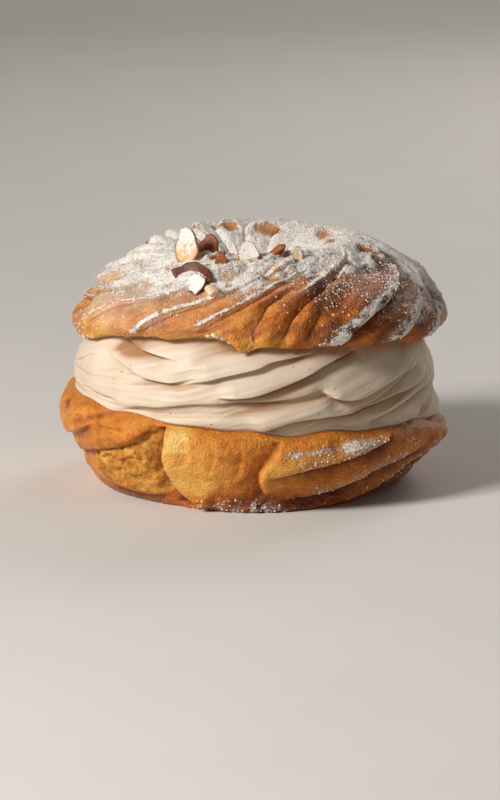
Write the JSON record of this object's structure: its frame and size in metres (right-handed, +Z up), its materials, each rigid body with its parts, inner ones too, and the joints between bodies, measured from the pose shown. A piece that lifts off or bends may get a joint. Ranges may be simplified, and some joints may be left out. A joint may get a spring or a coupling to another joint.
{
  "type": "paris brest pastry",
  "caption": "Ring of baked choux pastry, split level and filled with piped praline cream, with almond flakes on its ridged lid.",
  "frame": {"origin": "on the plane the pastry rests on, under the middle of its box", "axes": "+Z up through the ring's hole, -Y towards the front where the base is cracked"},
  "size_m": [0.0922, 0.0921, 0.064],
  "materials": {
    "choux_crust": "baked egg-washed choux crust",
    "praline_cream": "soft satin cream",
    "almond": "toasted almond flakes and nibs",
    "icing_sugar": "fine matt powder"
  },
  "bodies": {
    "root": {"choux_base": "choux_crust", "praline_cream": "praline_cream", "choux_lid": "choux_crust"}
  },
  "joints": []
}
